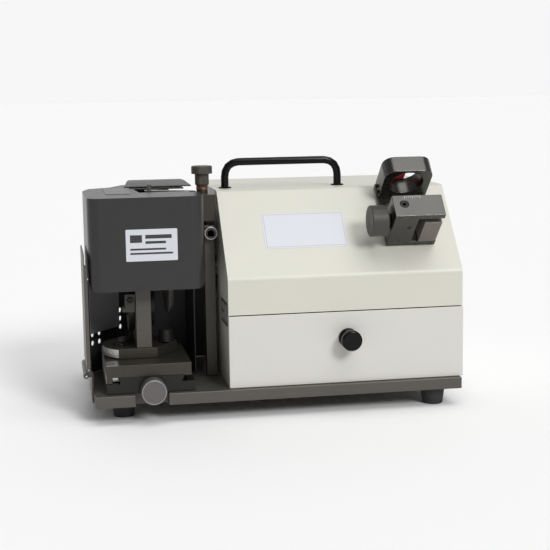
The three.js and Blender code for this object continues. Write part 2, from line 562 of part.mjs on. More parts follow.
function buildHood() {
  const { bottom, top, sheet } = HOOD;
  const shell = prism('z', hoodOutline(0), bottom, top);
  const inside = prism('z', hoodOutline(sheet), bottom - 1, top - sheet);
  const rightSide = box(100, 127, 71.9, 214, bottom - 1, top - sheet);
  const notchSide = box(110, 137 - sheet, 60, 73, bottom - 1, top - sheet);
  const belowRearWall = box(53, 127, 205, 214, bottom - 1, HOOD.rearWallBottom);
  const windowCorners = outline([[65, 83], [122, 86], [128, 86], [128, 146], [61, 144]]);
  const window = prism('z', windowCorners, top - 5, top + 1);
  const lidHole = box(60, 118, 166, 200, top - 5, top + 1);
  const { y, z, radius, pin, left, right } = HOOD_HINGE;
  const hinge = join(rod('x', y, z, radius, left, right, 16), box(left, right, 211, y, z - 3, z + 3));
  const pinBore = rod('x', y, z, pin + GAP, STANCHION.left - 1, STANCHION.right + 1, 12);
  const corners = [hoodCorner(HOOD.left, -1), hoodCorner(HOOD.right, 1)];
  const body = cut(shell, inside, rightSide, notchSide, belowRearWall, window, lidHole, ...corners);
  add('hood', cut(join(body, hinge), pinBore), HOOD_GREY);

  const lidProfile = [
    [LID.front, 269.5], [188, 274.1], [LID.rear - sheet, 274.1], [LID.rear - sheet, 269.5],
    [LID.rear, 269.5], [LID.rear, 275.7], [187.5, 275.7], [LID.front, 271.1],
  ].map(([u, v]) => new THREE.Vector2(u, v));
  const behindLid = LID.rear + 1;
  const lidCorner = (x, inward) => prism('z', outline([
    [x, LID.front], [x + inward, LID.rear], [x + inward, behindLid], [x - inward, behindLid], [x - inward, LID.front],
  ]), top, top + 9);
  const lidCorners = [lidCorner(LID.left, LID.narrowing), lidCorner(LID.right, -LID.narrowing)];
  add('hood_lid', cut(prism('x', lidProfile, LID.left, LID.right), ...lidCorners), HOOD_GREY);

  const { front, rear, footRear, footHeight } = STANCHION;
  const plate = box(STANCHION.left, STANCHION.right, front, rear, DECK, z);
  const foot = box(STANCHION.left, STANCHION.right, front, footRear, DECK, DECK + footHeight);
  const knuckles = rod('x', y, z, radius, STANCHION.left, STANCHION.right, 16);
  const room = box(left - GAP, right + GAP, y - 14, y + 11, z - 14, z + 8);
  add('hood_stanchion', cut(join(plate, foot, knuckles), room, pinBore), PLATE_GREY);
  add('hood_hinge_pin', rod('x', y, z, pin, STANCHION.left - 2, STANCHION.right + 2, 12), BRIGHT_STEEL);
}

// ---------------------------------------------------------------- guards and screens
function buildGuards() {
  const { x, z, radius, pin, front, rear, middleFront, middleRear } = GUARD_HINGE;
  const guard = SIDE_GUARD;
  const sheetLeft = x + 0.8;
  const side = outline([
    [guard.front, z], [guard.rear, z], [guard.rear, guard.top, 6], [guard.front, guard.top, 12],
  ], 4);
  const sheet = prism('x', side, sheetLeft, x + 2.3);
  const lip = box(sheetLeft, x + 5, guard.front, guard.front + 1.5, z + 9, guard.top - 12);
  const knuckle = rod('y', x, z, radius, middleFront, middleRear, 16);
  const below = (from, to) => box(x - 4, x + 4, from, to, z - 5, z + 4.5);
  const clear = [below(guard.front - 1, middleFront), below(middleRear, guard.rear + 1)];
  const bore = rod('y', x, z, pin + GAP, front - 5, rear + 5, 12);
  add('side_guard', cut(join(cut(join(sheet, lip), ...clear), knuckle), bore), PLATE_GREY);

  const leaf = box(-2.3, -GAP, front, rear, BASE.bottom + 2, z + 1.5);
  const arms = box(x, -GAP, front, rear, z - 1.5, z + 1.5);
  const knuckles = rod('y', x, z, radius, front, rear, 16);
  const room = box(x - 4, 1, middleFront - GAP, middleRear + GAP, z - 5, z + 5);
  add('guard_hinge_leaf', cut(join(leaf, arms, knuckles), room, bore), STEEL);
  add('guard_hinge_pin', rod('y', x, z, pin, front - 2, rear + 2, 12), BRIGHT_STEEL);

  const screen = new THREE.Group();
  screen.position.set(SCREEN.x, SCREEN.y, DECK);
  screen.rotation.z = Math.atan2(56, 45);
  machine.add(screen);
  const { length, height, thickness, hole, holePitch } = SCREEN;
  const holes = [];
  for (const [along, lowest] of SCREEN_HOLES) {
    for (let row = 0; row < 3; row += 1) {
      holes.push(rod('y', along, lowest + holePitch * row, hole, -3, 1, 8));
    }
  }
  add('rear_screen', cut(box(0, length, -thickness, 0, 0, height), ...holes), PLATE_GREY, screen);
  const deflector = DEFLECTOR;
  const face = -thickness - GAP;
  const deflectorBox = box(deflector.left, deflector.right, face - 1.2, face, deflector.bottom, height);
  add('chip_deflector', deflectorBox, DARK_STEEL, screen);
  add('inner_guard', box(130, 131.6, 98, 196, DECK, 146), PLATE_GREY);
  const panel = REAR_PANEL;
  const panelRear = panel.front + panel.thickness;
  const panelBelow = box(panel.lowLeft, panel.left + 1, panel.front, panelRear, DECK, DECK + height);
  const panelMain = box(panel.left, panel.right, panel.front, panelRear, DECK, panel.top);
  add('rear_panel', join(panelMain, panelBelow), HOOD_GREY);
}

// ---------------------------------------------------------------- setting gauge on the slope
// In the gauge's own axes y runs up the slope and z out of it.
function buildGauge() {
  const slope = new THREE.Group();
  slope.position.set(0, HOUSING.front, SLOPE.z0);
  slope.rotation.x = Math.atan2(HOUSING.top - SLOPE.z0, SLOPE.y1 - HOUSING.front);
  machine.add(slope);
  const { left, right, ringLow, ringHigh, blockLow, blockHigh } = GAUGE;
  const { s, n, radius, knobRadius } = GAUGE_SCREW;
  add('gauge_base', box(left + 1, right, blockLow + 1, ringHigh, GAP, 6), DARK_STEEL, slope);

  const middle = (left + right) / 2 + 1;
  const floor = 6 + GAP;
  const ringTop = 59.5;
  const frame = outline([
    [left + 2, floor], [right + 1, floor], [right + 1, ringTop, 13], [left + 2, ringTop, 14],
  ]);
  const bore = rod('y', middle, 35, 20.5, ringLow - 1, ringHigh + 2, 32);
  add('gauge_ring', cut(prism('y', frame, ringLow, ringHigh + 1), bore), DARK_STEEL, slope);

  const screwBore = rod('x', s, n, radius + GAP, left - 1, right + 1, 16);
  const slot = box(391, right + 1, blockLow - 1, blockHigh + 1, 10, 56.5);
  const grubX = 374.5;
  const grubS = 55.5;
  const grubHole = rod('z', grubX, grubS, 5, 50, 66, 16);
  const block = box(left, right, blockLow, blockHigh, floor, 64.5);
  add('gauge_block', cut(block, slot, screwBore, grubHole), DARK_STEEL, slope);
  add('gauge_jaw', cut(box(399.5, 421.5, blockLow - 1, blockHigh - 1, 11, 50), screwBore), STEEL, slope);
  const grub = cut(rod('z', grubX, grubS, 4.7, 51, 64, 16), rod('z', grubX, grubS, 2.4, 58, 65, 6));
  add('gauge_grub_screw', grub, DARK_STEEL, slope);

  const knobLeft = left - 25;
  const knob = [[0, knobLeft], [knobRadius - 1, knobLeft], [knobRadius, knobLeft + 1], [knobRadius, left - 5]];
  knob.push([9, left - 3.5]);
  knob.push([9, left - GAP], [radius, left - GAP], [radius, right - 5], [0, right - 5]);
  add('gauge_knob', turned('x', s, n, knob, 28), DARK_STEEL, slope);
}

buildBase();
buildHousing();
buildDrawer();
buildRearFittings();
buildDrive();
buildColumn();
buildCrossSlide();
buildRotaryTable();
buildHood();
buildGuards();
buildGauge();

// The part's origin: bottom centre of its bounding box.
machine.updateMatrixWorld(true);
const bounds = new THREE.Box3().setFromObject(machine, true);
const centre = bounds.getCenter(new THREE.Vector3());
machine.position.set(-centre.x, -centre.y, -bounds.min.z);

export default machine;
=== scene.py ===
"""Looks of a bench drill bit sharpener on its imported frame: materials, eased edges and small details."""

import json
import math

import bmesh
import bpy
from mathutils import Matrix, Vector


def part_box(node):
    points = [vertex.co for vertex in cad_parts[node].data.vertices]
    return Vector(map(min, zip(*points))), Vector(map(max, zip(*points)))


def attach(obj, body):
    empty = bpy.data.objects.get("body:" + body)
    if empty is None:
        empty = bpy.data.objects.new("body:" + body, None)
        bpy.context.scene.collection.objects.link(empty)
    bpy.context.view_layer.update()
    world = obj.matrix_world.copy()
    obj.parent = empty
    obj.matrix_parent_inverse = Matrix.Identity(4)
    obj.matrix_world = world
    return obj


MM = 0.001
SKIN = 0.02  # millimetres by which a detail stands off the CAD face that it lies on
X, Y, Z = Vector((1, 0, 0)), Vector((0, 1, 0)), Vector((0, 0, 1))

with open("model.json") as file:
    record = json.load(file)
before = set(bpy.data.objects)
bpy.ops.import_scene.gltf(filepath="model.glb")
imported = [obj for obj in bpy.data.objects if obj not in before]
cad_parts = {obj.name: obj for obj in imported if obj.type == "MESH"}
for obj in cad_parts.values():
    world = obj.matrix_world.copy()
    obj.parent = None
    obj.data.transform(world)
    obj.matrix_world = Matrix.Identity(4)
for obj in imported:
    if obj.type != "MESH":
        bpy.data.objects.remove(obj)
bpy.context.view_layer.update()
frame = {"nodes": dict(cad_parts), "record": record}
nodes = frame["nodes"]

# Working axes: millimetres from the base plate's front left corner, z from the bench.
plate_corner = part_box("base_plate")[0]
CORNER = Vector((plate_corner.x, plate_corner.y, 0))


def at(x, y, z):
    """Frame point of a place in working axes."""
    return CORNER + Vector((x, y, z)) * MM


def corners_of(name):
    """Lowest and highest corner of a CAD node in working axes."""
    return [(corner - CORNER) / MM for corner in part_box(name)]


def middle_of(name):
    """Middle of a CAD node's box in working axes."""
    low, high = corners_of(name)
    return (low + high) / 2


front_low, front_high = corners_of("front_cover")
rear_high = corners_of("rear_cover")[1]
REAR_FACE = rear_high.y + SKIN
PLATE_BOTTOM = corners_of("base_plate")[0].z

# The slope of the housing: s runs up it from its lower edge, n stands out of it.
SLOPE_FOOT_Z = 169.5
SLOPE_TOP_Y = 92.5
SLOPE_ANGLE = math.atan2(front_high.z - SLOPE_FOOT_Z, SLOPE_TOP_Y - front_low.y)
UP_SLOPE = Vector((0, math.cos(SLOPE_ANGLE), math.sin(SLOPE_ANGLE)))
OFF_SLOPE = Vector((0, -math.sin(SLOPE_ANGLE), math.cos(SLOPE_ANGLE)))

# The setting gauge in the slope's axes.
GAUGE_BLOCK = {"low": 37.5, "high": 68, "top": 64.5}
GAUGE_RING = {"left": 363, "end": 131, "bore_x": 393, "bore_n": 35, "bore_radius": 20.5}
GAUGE_SCREW = {"knob_middle": 346, "s": 52, "n": 36}

# The rotary table turns about an upright axis.
TABLE_AXIS = at(60, 80, 0)
TABLE_RADIUS = 46


def on_slope(x, s, n):
    """Frame point of a place in the slope's axes."""
    return at(x, front_low.y, SLOPE_FOOT_Z) + (UP_SLOPE * s + OFF_SLOPE * n) * MM


# ---------------------------------------------------------------- materials
def add(tree, kind, sockets=None, **settings):
    """A new node with its settings, and its sockets either linked or given a value."""
    node = tree.nodes.new(kind)
    for key, value in settings.items():
        setattr(node, key, value)
    for socket, value in (sockets or {}).items():
        if isinstance(value, bpy.types.NodeSocket):
            tree.links.new(value, node.inputs[socket])
        else:
            node.inputs[socket].default_value = value
    return node


def maths(tree, operation, a, b=0.0):
    """One sum on numbers or sockets."""
    return add(tree, "ShaderNodeMath", {0: a, 1: b}, operation=operation).outputs[0]


def spread(tree, value, low, high):
    """A 0 to 1 value spread between low and high."""
    return add(tree, "ShaderNodeMapRange", {"Value": value, "To Min": low, "To Max": high}).outputs[0]


def noise(tree, coords, size, detail=3.0, stretch=None):
    """Noise with features of about the given size in metres, optionally stretched along an axis."""
    if stretch:
        coords = add(tree, "ShaderNodeMapping", {"Vector": coords, "Scale": stretch}).outputs[0]
    settings = {"Vector": coords, "Scale": 1 / size, "Detail": detail}
    return add(tree, "ShaderNodeTexNoise", settings).outputs[0]


def blend(tree, factor, a, b):
    """Colour between a and b."""
    return add(tree, "ShaderNodeMix", {0: factor, 6: a, 7: b}, data_type="RGBA").outputs[2]


def shade(color, factor):
    """A lighter or darker colour, with alpha."""
    return tuple(min(1.0, c * factor) for c in color) + (1.0,)


def edge_mask(tree, radius):
    """1 on convex and concave edges, 0 on flats."""
    bevel = add(tree, "ShaderNodeBevel", {"Radius": radius}, samples=6)
    plain = add(tree, "ShaderNodeNewGeometry").outputs["Normal"]
    dot = add(tree, "ShaderNodeVectorMath", {0: bevel.outputs[0], 1: plain}, operation="DOT_PRODUCT")
    gap = maths(tree, "SUBTRACT", 1.0, dot.outputs["Value"])
    mask = add(tree, "ShaderNodeMapRange", {"Value": gap, "From Min": 0.01, "From Max": 0.12})
    return mask.outputs[0]


def knurl_height(tree, coords, centre, axis, count, pitch):
    """Diamond knurl round an axis: 0 to 1 height."""
    away = add(tree, "ShaderNodeVectorMath", {0: coords, 1: centre}, operation="SUBTRACT").outputs[0]
    split = add(tree, "ShaderNodeSeparateXYZ", {0: away}).outputs
    along = split[axis]
    across = [split[k] for k in range(3) if k != axis]
    turn = maths(tree, "MULTIPLY", maths(tree, "ARCTAN2", across[0], across[1]), count)
    rise = maths(tree, "MULTIPLY", along, 2 * math.pi / pitch)
    left = maths(tree, "SINE", maths(tree, "ADD", turn, rise))
    right = maths(tree, "SINE", maths(tree, "SUBTRACT", turn, rise))
    return spread(tree, maths(tree, "MAXIMUM", left, right), 0.0, 1.0)


def surface(
    name,
    color,
    roughness,
    metallic=0.0,
    patch=0.05,
    patch_size=0.05,
    grain=0.0005,
    relief=0.12,
    smudge=0.06,
    streak=None,
    edge=1.0,
    edge_radius=0.0006,
    speckle=0.0,
    coat=0.0,
    specular=0.5,
    knurl=None,
):
    """Painted, machined, moulded or rubbery surface: drifting colour, grain, smudged gloss, and edges
    lightened partly as wear, partly as painted highlight.
    """
    material = bpy.data.materials.new(name)
    material.use_nodes = True
    tree = material.node_tree
    tree.nodes.clear()
    coords = add(tree, "ShaderNodeTexCoord").outputs["Object"]

    drift = noise(tree, coords, patch_size, 4.0)
    fine = noise(tree, coords, grain, 2.0, streak)
    tint = blend(tree, drift, shade(color, 1 - patch), shade(color, 1 + patch))
    if speckle:
        spots = add(tree, "ShaderNodeMapRange", {"Value": fine, "From Min": 0.45, "From Max": 0.7}).outputs[0]
        spots = maths(tree, "MULTIPLY", spots, speckle)
        tint = blend(tree, spots, tint, shade(color, 1.9))
    # edges lighter by the edge factor: partly wear, partly a painted highlight on lit chamfers
    if edge != 1.0:
        wear_and_highlight = maths(tree, "MULTIPLY", edge_mask(tree, edge_radius), spread(tree, drift, 0.5, 1.0))
        tint = blend(tree, wear_and_highlight, tint, shade(color, edge))
    height = fine
    if knurl:
        height = knurl_height(tree, coords, *knurl)
        # painted highlight: the knurl's ridges are lighter, as where light catches them
        tint = blend(tree, maths(tree, "MULTIPLY", height, 0.8), tint, shade(color, 2.4))

    handled = noise(tree, coords, patch_size * 0.4, 5.0)
    gloss = maths(tree, "ADD", spread(tree, handled, roughness - smudge, roughness + smudge),
                  spread(tree, fine, -0.02, 0.02))
    bump = add(tree, "ShaderNodeBump", {"Strength": relief, "Distance": grain * 0.5, "Height": height})
    shader = add(tree, "ShaderNodeBsdfPrincipled", {
        "Base Color": tint,
        "Roughness": gloss,
        "Metallic": metallic,
        "Normal": bump.outputs[0],
        "Specular IOR Level": specular,
        "Coat Weight": coat,
        "Coat Roughness": 0.12,
    })
    add(tree, "ShaderNodeOutputMaterial", {"Surface": shader.outputs[0]})
    return material


CREAM = (0.57, 0.56, 0.495)
STEEL_TONE = (0.052, 0.047, 0.039)
DARK_TONE = (0.016, 0.0155, 0.014)
BRUSHED_UP = (3.0, 3.0, 0.12)  # grain stretched along z
TURNED_X = (0.15, 3.0, 3.0)  # grain stretched along x

# A knurl's centre, the axis that it goes round, its diamonds round the rim and their pitch in metres.
GAUGE_KNURL = (on_slope(GAUGE_SCREW["knob_middle"], GAUGE_SCREW["s"], GAUGE_SCREW["n"]), 0, 44, 0.0024)
feed_knob = middle_of("feed_knob")
FEED_KNURL = (at(feed_knob.x, feed_knob.y, 293), 2, 34, 0.0022)

# finishes of the record's material slots
finishes = {
    "cream_paint": surface("cream_powder_coat", CREAM, 0.42, patch=0.015, grain=0.0007, relief=0.10,
                           edge=1.06, edge_radius=0.0008),
    "drawer_paint": surface("drawer_powder_coat", (0.58, 0.565, 0.53), 0.44, patch=0.015, grain=0.0007,
                            relief=0.10, edge=1.06),
    "hood_paint": surface("hood_grey_paint", (0.023, 0.0218, 0.0218), 0.34, specular=0.4, patch=0.06,
                          grain=0.0006, relief=0.16, edge=1.7, edge_radius=0.0007),
    "plate_paint": surface("plate_grey_paint", (0.080, 0.074, 0.064), 0.42, metallic=0.3, patch=0.07,
                           grain=0.0008, relief=0.18, edge=1.5, edge_radius=0.0008, speckle=0.10),
    "machined_steel": surface("machined_steel", STEEL_TONE, 0.34, metallic=0.6, specular=0.35, patch=0.12,
                              grain=0.0006, relief=0.16, streak=TURNED_X, edge=2.4, speckle=0.25),
    "dark_steel": surface("black_oxide_steel", DARK_TONE, 0.27, metallic=0.2, specular=0.25, patch=0.12,
                          grain=0.0005, relief=0.14, edge=3.0, speckle=0.25),
    "bright_steel": surface("ground_steel", (0.52, 0.52, 0.50), 0.26, metallic=0.95, patch=0.06,
                            grain=0.0004, relief=0.10, streak=TURNED_X, edge=1.3),
    "cast_head": surface("painted_casting", (0.055, 0.058, 0.056), 0.55, patch=0.10, grain=0.0016,
                         relief=0.35, edge=1.8),
    "black_gloss": surface("black_gloss_plastic", (0.004, 0.004, 0.004), 0.2, patch=0.10, grain=0.0009,
                           relief=0.05, edge=2.0, specular=0.16),
    "black_satin": surface("black_satin_plastic", (0.018, 0.018, 0.019), 0.45, patch=0.10, grain=0.0004,
                           relief=0.20, edge=1.8),
    "rubber": surface("black_rubber", (0.020, 0.020, 0.020), 0.72, patch=0.15, grain=0.0008, relief=0.25,
                      edge=1.6),
    "copper": surface("plain_bronze", (0.30, 0.135, 0.07), 0.38, metallic=0.9, patch=0.10, grain=0.0004,
                      relief=0.12, edge=1.4),
    "abrasive": surface("plated_grit", (0.22, 0.20, 0.17), 0.78, metallic=0.2, patch=0.12, grain=0.0005,
                        relief=0.9, edge=1.2, speckle=0.6),
    "motor_case": surface("motor_paint", (0.17, 0.19, 0.20), 0.45, metallic=0.3, patch=0.06, grain=0.0012,
                          relief=0.25, edge=1.5),
}

# finishes of labels, marks and single pieces
extras = {
    "label_white": surface("label_white", (0.56, 0.575, 0.615), 0.36, patch=0.012, grain=0.0003, relief=0.04),
    "label_ink": surface("label_ink", (0.028, 0.028, 0.030), 0.42, patch=0.08, grain=0.0003, relief=0.05),
    "label_grey": surface("label_grey", (0.34, 0.33, 0.33), 0.42, patch=0.04, grain=0.0003, relief=0.06),
    "dull_plate": surface("dull_plate", (0.11, 0.108, 0.108), 0.40, patch=0.08, grain=0.0004, relief=0.08,
                          edge=1.8),
    "mark_red": surface("red_paint", (0.75, 0.07, 0.06), 0.38, patch=0.05, grain=0.0004, relief=0.06),
    # the scales' own pale silver, made lighter still as painted light where they lie in shade
    "silver_scale_and_painted_light": surface("silver_scale_and_painted_light", (0.84, 0.83, 0.79), 0.34, metallic=0.1, patch=0.10,
                            grain=0.0004, relief=0.12, streak=BRUSHED_UP, speckle=0.2),
    # painted shade: near-black discs stand for the dark inside of holes and sockets
    "painted_hole_shade": surface("painted_hole_shade", (0.004, 0.004, 0.004), 0.8, patch=0.2, grain=0.0006, relief=0.2),
    "alloy_plate": surface("rating_plate_alloy", (0.50, 0.50, 0.50), 0.36, metallic=0.9, patch=0.04,
                           grain=0.0003, relief=0.12, streak=TURNED_X),
    "gauge_steel": surface("gauge_steel", (0.082, 0.080, 0.075), 0.26, metallic=0.95, patch=0.12,
                           grain=0.0006, relief=0.12, streak=TURNED_X, edge=2.2, speckle=0.2),
    "arm_steel": surface("arm_steel", (0.24, 0.225, 0.20), 0.30, metallic=0.85, patch=0.10, relief=0.12,
                         streak=TURNED_X, edge=1.8),
    "jaw_steel": surface("jaw_steel", (0.155, 0.135, 0.12), 0.38, metallic=0.3, patch=0.08, relief=0.12,
                         edge=1.8, speckle=0.15),
    "gauge_knurl": surface("knurled_dark_steel", (0.05, 0.048, 0.043), 0.42, metallic=0.7, patch=0.10,
                           grain=0.0006, relief=0.8, edge=2.6, knurl=GAUGE_KNURL),
    "feed_knurl": surface("knurled_feed_knob", STEEL_TONE, 0.42, metallic=0.7, patch=0.12, grain=0.0006,
                          relief=0.7, edge=2.2, knurl=FEED_KNURL),
    # painted highlight: edges seven times lighter stand for the bright ring on the cap screw's head
    "cap_screw_steel": surface("cap_screw_steel", (0.05, 0.048, 0.044), 0.36, metallic=0.6, patch=0.10,
                               relief=0.12, edge=7.0, edge_radius=0.0012),
    "deflector_grey": surface("deflector_grey_paint", (0.34, 0.34, 0.35), 0.42, patch=0.06, grain=0.0006,
                              relief=0.14, edge=1.5),
    # painted shade: darker than these sheets' own paint, standing for the shade inside the station
    "painted_shade_sheet": surface("sheet_paint_darkened_for_shade", (0.032, 0.032, 0.032), 0.45, patch=0.10, grain=0.0006,
                            relief=0.14, edge=3.0),
    # painted highlight: edges 4.2 times lighter stand for the light ring on the knob's chamfer
    "slide_knob": surface("slide_knob_steel", (0.125, 0.117, 0.115), 0.46, metallic=0.55, patch=0.08,
                          grain=0.0007, relief=0.12, edge=4.2, edge_radius=0.0007),
}

# nodes that look a little different from their slot
own_finish = {
    "gauge_knob": "gauge_knurl",
    "feed_knob": "feed_knurl",
    "cross_screw": "slide_knob",
    "gauge_ring": "gauge_steel",
    "gauge_block": "gauge_steel",
    "gauge_base": "gauge_steel",
    "gauge_jaw": "jaw_steel",
    "index_arm": "arm_steel",
    "index_pin": "arm_steel",
    "column_cap_screw": "cap_screw_steel",
    "chip_deflector": "deflector_grey",
    # painted shade: the inner sheets of the station get a near-black finish for the shade there
    "inner_guard": "painted_shade_sheet",
    "rear_panel": "painted_shade_sheet",
    "hood_stanchion": "painted_shade_sheet",
    "rear_screen": "painted_shade_sheet",
}


# ---------------------------------------------------------------- eased edges on the CAD nodes
def even_shading():
    """Node group that drops stored normals and shades every face smooth, before the edges are eased."""
    tree = bpy.data.node_groups.new("even_shading", "GeometryNodeTree")
    tree.interface.new_socket("Geometry", in_out="INPUT", socket_type="NodeSocketGeometry")
    tree.interface.new_socket("Geometry", in_out="OUTPUT", socket_type="NodeSocketGeometry")
    start = add(tree, "NodeGroupInput").outputs[0]
    bare = add(tree, "GeometryNodeRemoveAttribute", {"Geometry": start, "Name": "custom_normal"}).outputs[0]
    faces = add(tree, "GeometryNodeSetShadeSmooth", {0: bare, 2: True}, domain="FACE").outputs[0]
    edges = add(tree, "GeometryNodeSetShadeSmooth", {0: faces, 2: True}, domain="EDGE").outputs[0]
    add(tree, "NodeGroupOutput", {0: edges})
    return tree


EVEN = even_shading()
EDGE_WIDTH = 0.45  # millimetres, where a node has no width of its own
edges_by_width = {
    1.5: ("motor", "headstock"),
    1.2: ("drawer_knob",),
    1.1: ("base_plate",),
    1.0: ("gauge_ring", "gauge_block"),
    0.95: ("front_cover", "rear_cover"),
    0.9: ("drawer_front", "seat_post", "column_bar", "feed_head"),
    0.8: ("slide_base", "upper_slide", "rotary_table", "gauge_jaw"),
    0.7: ("hood",),
    0.6: ("hood_lid",),
    0.5: ("inner_guard", "side_guard"),
    0.3: ("index_pin", "chip_deflector"),
}
edge_widths = {name: width for width, names in edges_by_width.items() for name in names}


def ease(node, width):
    """Weld the facets, merge flat ones, round the edges and even out the normals."""
    node.modifiers.new("weld", "WELD").merge_threshold = 1e-6
    flat = node.modifiers.new("flat", "DECIMATE")
    flat.decimate_type = "DISSOLVE"
    flat.angle_limit = math.radians(0.5)
    node.modifiers.new("shading", "NODES").node_group = EVEN
    rounding = node.modifiers.new("rounding", "BEVEL")
    rounding.width = width
    rounding.segments = 3
    rounding.limit_method = "ANGLE"
    rounding.angle_limit = math.radians(38)
    rounding.miter_outer = "MITER_ARC"
    normals = node.modifiers.new("normals", "WEIGHTED_NORMAL")
    normals.keep_sharp = True


slot_of = {row["node"]: row["material_slot"] for row in frame["record"]["subparts"]}
for name, node in nodes.items():
    node.data.materials.clear()
    node.data.materials.append(extras[own_finish[name]] if name in own_finish else finishes[slot_of[name]])
    if name != "rear_screen":  # its thin edges round the holes stay as they are
        ease(node, edge_widths.get(name, EDGE_WIDTH) * MM)


# ---------------------------------------------------------------- pieces built here
def piece(name, bm, finish, body, sharp=35):
    """Object of a bmesh, shaded smooth up to an angle, riding on a body."""
    bmesh.ops.remove_doubles(bm, verts=bm.verts, dist=1e-7)
    bmesh.ops.recalc_face_normals(bm, faces=bm.faces)
    mesh = bpy.data.meshes.new(name)
    bm.to_mesh(mesh)
    bm.free()
    mesh.shade_smooth()
    mesh.set_sharp_from_angle(angle=math.radians(sharp))
    mesh.materials.append(extras.get(finish) or finishes[finish])
    made = bpy.data.objects.new(name, mesh)
    bpy.context.scene.collection.objects.link(made)
    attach(made, body)
    return made


def bridge(bm, lower, upper):
    """Walls between two loops that have as many points."""
    for k in range(len(lower)):
        m = (k + 1) % len(lower)
        bm.faces.new((lower[k], lower[m], upper[m], upper[k]))


def plate(bm, origin, u, v, outline, thickness, ease_by=0.0):
    """Flat plate on an outline of (u, v) millimetres, its upper edge drawn in by ease_by."""
    normal = u.cross(v).normalized()
    base = [origin + (u * a + v * b) * MM for a, b in outline]
    middle = Vector((0, 0, 0))
    for p in base:
        middle += p / len(base)
    low = [bm.verts.new(p) for p in base]
    wall = [bm.verts.new(p + normal * (thickness - ease_by) * MM) for p in base]
    rings = [low, wall]
    if ease_by:
        inward = [(middle - p).normalized() for p in base]
        lift = normal * thickness * MM
        rings.append([bm.verts.new(p + way * ease_by * MM + lift) for p, way in zip(base, inward)])
    for lower, upper in zip(rings, rings[1:]):
        bridge(bm, lower, upper)
    bm.faces.new(rings[-1])
    bm.faces.new(list(reversed(low)))


def rounded(width, height, radius, steps=5, left=0.0, bottom=0.0):
    """Outline of a rectangle with round corners."""
    points = []
    corners = ((width - radius, radius, -90), (width - radius, height - radius, 0),
               (radius, height - radius, 90), (radius, radius, 180))
    for cu, cv, start in corners:
        for k in range(steps + 1):
            a = math.radians(start + 90 * k / steps)
            points.append((left + cu + radius * math.cos(a), bottom + cv + radius * math.sin(a)))
    return points


def directions_across(axis):
    """Two directions at right angles to an axis and to each other."""
    helper = Z if abs(axis.z) < 0.9 else X
    u = axis.cross(helper).normalized()
    return u, axis.cross(u).normalized()


def turned(bm, centre, axis, profile, sides=28):
    """Turned solid from (radius, height) millimetres; a zero radius closes an end."""
    u, v = directions_across(axis)
    rings = []
    for radius, height in profile:
        middle = centre + axis * height * MM
        if radius == 0:
            rings.append([bm.verts.new(middle)])
            continue
        angles = [2 * math.pi * k / sides for k in range(sides)]
        rim = [middle + (u * math.cos(a) + v * math.sin(a)) * radius * MM for a in angles]
        rings.append([bm.verts.new(p) for p in rim])
    for lower, upper in zip(rings, rings[1:]):
        for k in range(sides):
            m = (k + 1) % sides
            below = [lower[k % len(lower)], lower[m % len(lower)]]
            above = [upper[m % len(upper)], upper[k % len(upper)]]
            unique = list(dict.fromkeys(below + above))
            if len(unique) > 2:
                bm.faces.new(unique)
    if len(rings[0]) > 1 and profile[0] != profile[-1]:
        bm.faces.new(rings[0])
        bm.faces.new(rings[-1])


def cap_head(bm, centre, axis, radius, height, socket, sides=28):
    """Socket head: a turned cap with a round recess."""
    lip = socket * 1.18
    floor = height * 0.45
    outside = [(0, 0), (radius - 0.5, 0), (radius, 0.4), (radius, height - 0.6), (radius - 0.6, height)]
    recess = [(lip, height), (lip, height - 0.01), (socket, height - 0.2), (socket, floor), (0, floor - 0.3)]
    turned(bm, centre, axis, outside + recess, sides)


def pan_head(bm, centre, axis, radius, height, sides=20):
    """Low domed screw head."""
    dome = [(radius, 0), (radius, height * 0.35), (radius * 0.82, height * 0.78), (radius * 0.45, height)]
    turned(bm, centre, axis, [(0, 0)] + dome + [(0, height)], sides)


def mark(bm, origin, u, v, width, height):
    """Printed or engraved bar, from its lower left corner."""
    plate(bm, origin, u, v, [(0, 0), (width, 0), (width, height), (0, height)], PRINT)


# ---------------------------------------------------------------- labels and plates
LABEL = 0.3  # thickness of a printed label
PRINT = 0.05  # thickness of what is printed on it
PRINT_LIFT = 0.31  # from the label's underside to the print's


def build_slope_label():
    """Blank label with a thin rule inside its edge."""
    left, bottom, width, height = 212, 41, 103, 52.3
    bm = bmesh.new()
    plate(bm, on_slope(left, bottom, SKIN), X, UP_SLOPE, rounded(width, height, 2.5), LABEL, 0.12)
    piece("slope_label", bm, "label_white", "machine")

    rim, line = 2.2, 0.5
    across, up = width - 2 * rim, height - 2 * rim
    bm = bmesh.new()
    for u, v, bar_width, bar_height in (
        (rim, rim, across, line),
        (rim, height - rim, across, line),
        (rim, rim, line, up),
        (width - rim, rim, line, up + line),
    ):
        mark(bm, on_slope(left + u, bottom + v, PRINT_LIFT), X, UP_SLOPE, bar_width, bar_height)
    piece("slope_label_rule", bm, "label_grey", "machine")


